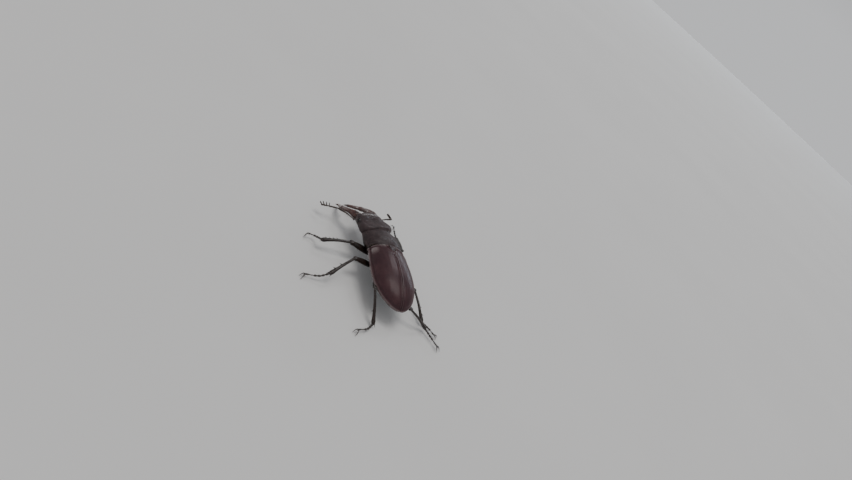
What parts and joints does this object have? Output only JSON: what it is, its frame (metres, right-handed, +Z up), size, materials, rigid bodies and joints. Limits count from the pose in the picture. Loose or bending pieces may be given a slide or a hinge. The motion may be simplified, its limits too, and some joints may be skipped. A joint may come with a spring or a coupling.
{
  "type": "stag beetle model",
  "caption": "Male stag beetle at life size, standing with its legs spread, its head turned and its long toothed jaws nearly closed.",
  "frame": {"origin": "on the ground, under the middle of the beetle's bounding box", "axes": "+X to the beetle's own left, -Y forwards past the head, +Z up"},
  "size_m": [0.0542, 0.0642, 0.013],
  "materials": {
    "wing_case": "satin to glossy cuticle, dark reddish brown, finely punctured",
    "shell": "satin cuticle, blackish brown, finely granular",
    "underside": "dull blackish cuticle with a fine short down",
    "jaw": "glossy reddish maroon horn, darker at the teeth",
    "eye": "glossy black with very fine facets",
    "feeler": "satin dark brown, the club dull with fine down",
    "leg": "glossy near-black brown cuticle with short bristles"
  },
  "bodies": {
    "root": {"elytron_left": "wing_case", "elytron_right": "wing_case", "scutellum": "shell", "pronotum": "shell", "head": "shell", "metathorax": "underside", "abdomen": "underside", "prosternum": "underside", "mandible_left": "jaw", "mandible_right": "jaw", "labrum": "jaw", "eye_left": "eye", "scape_left": "feeler", "funicle_left": "feeler", "antenna_club_left": "feeler", "maxillary_palp_left": "feeler", "labial_palp_left": "feeler", "eye_right": "eye", "scape_right": "feeler", "funicle_right": "feeler", "antenna_club_right": "feeler", "maxillary_palp_right": "feeler", "labial_palp_right": "feeler", "coxa_front_left": "leg", "femur_front_left": "leg", "tibia_front_left": "leg", "tarsus_front_left": "leg", "claws_front_left": "leg", "coxa_front_right": "leg", "femur_front_right": "leg", "tibia_front_right": "leg", "tarsus_front_right": "leg", "claws_front_right": "leg", "coxa_middle_left": "leg", "femur_middle_left": "leg", "tibia_middle_left": "leg", "tarsus_middle_left": "leg", "claws_middle_left": "leg", "coxa_middle_right": "leg", "femur_middle_right": "leg", "tibia_middle_right": "leg", "tarsus_middle_right": "leg", "claws_middle_right": "leg", "coxa_hind_left": "leg", "femur_hind_left": "leg", "tibia_hind_left": "leg", "tarsus_hind_left": "leg", "claws_hind_left": "leg", "coxa_hind_right": "leg", "femur_hind_right": "leg", "tibia_hind_right": "leg", "tarsus_hind_right": "leg", "claws_hind_right": "leg"}
  },
  "joints": []
}
